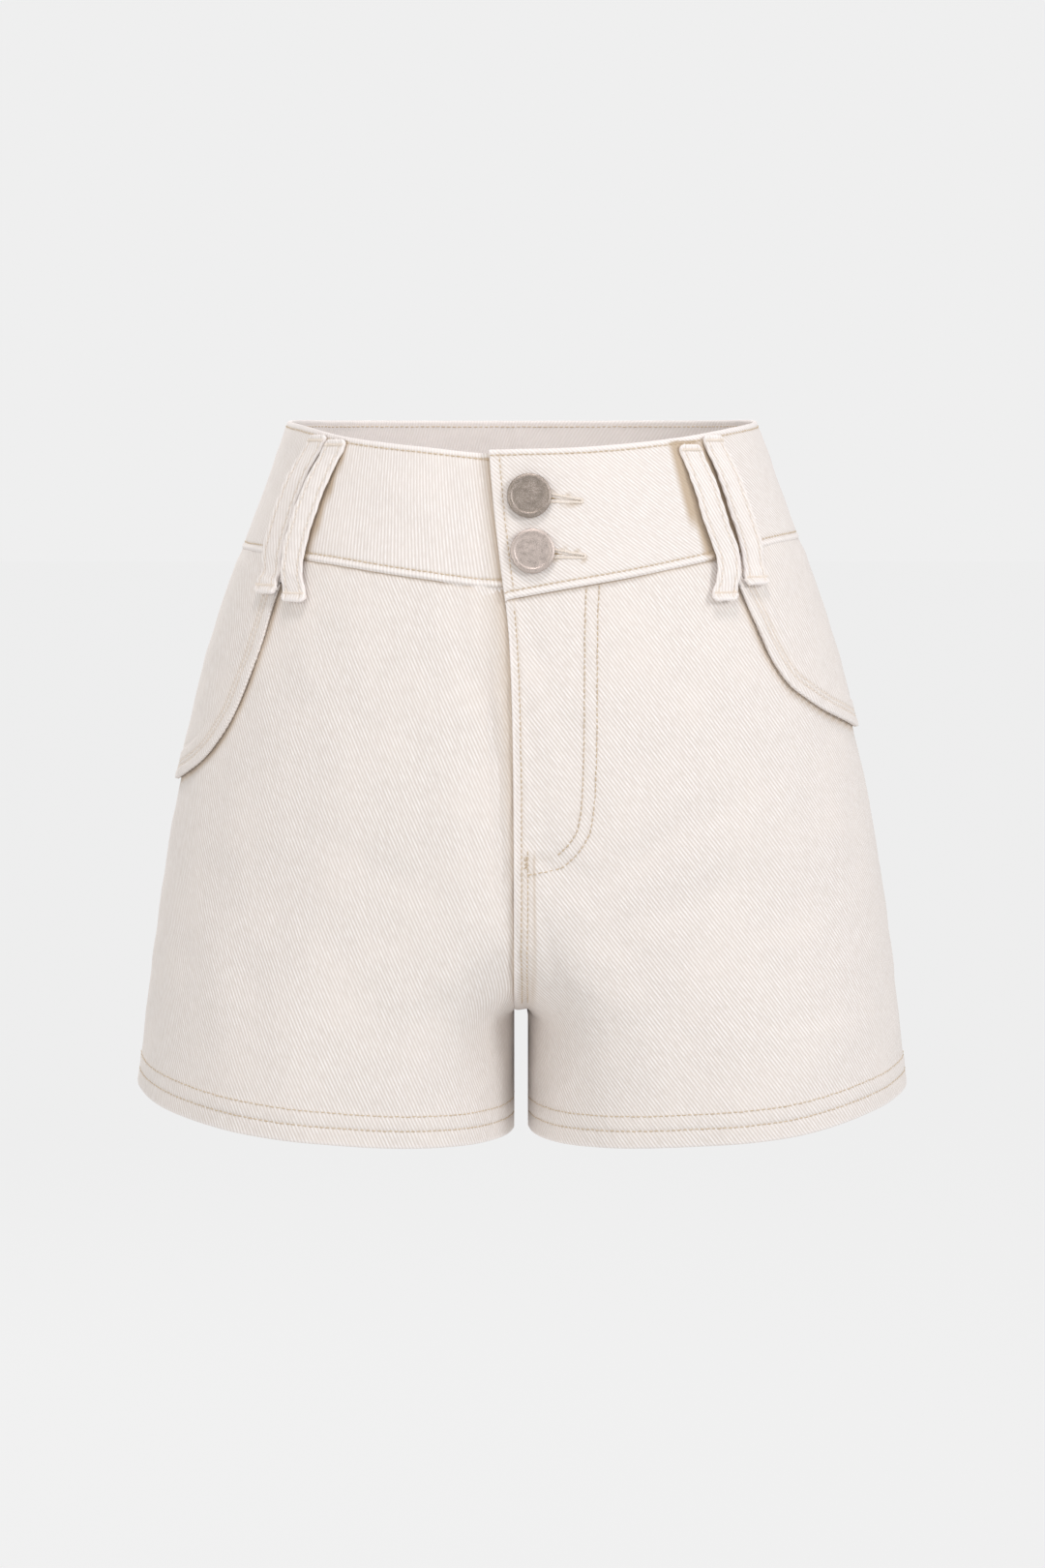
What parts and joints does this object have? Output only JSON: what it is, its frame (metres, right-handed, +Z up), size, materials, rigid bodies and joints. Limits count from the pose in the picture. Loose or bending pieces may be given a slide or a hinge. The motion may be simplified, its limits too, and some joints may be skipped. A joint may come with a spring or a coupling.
{
  "type": "high-waisted denim shorts",
  "caption": "Filled-out A-line denim shorts with a deep fitted waistband, a buttoned fly, long belt loops and rounded hip flaps over the side seams.",
  "frame": {"origin": "middle of the waist opening, level with the top of the band at the side seams", "axes": "+Z up along the wearer's body, front facing -Y, +X towards the side seen on the right from the front"},
  "size_m": [0.3978, 0.2347, 0.3632],
  "materials": {
    "denim": "matt cream cotton twill",
    "button_metal": "dull aged nickel"
  },
  "bodies": {
    "root": {"front_left": "denim", "front_right": "denim", "back_left": "denim", "back_right": "denim", "fly_underlap": "denim", "waistband": "denim", "hip_flap_left": "denim", "hip_flap_right": "denim", "loop_left_outer": "denim", "loop_left_inner": "denim", "loop_right_inner": "denim", "loop_right_outer": "denim", "loop_back_left": "denim", "loop_back_right": "denim", "button_upper": "button_metal", "button_lower": "button_metal"}
  },
  "joints": []
}
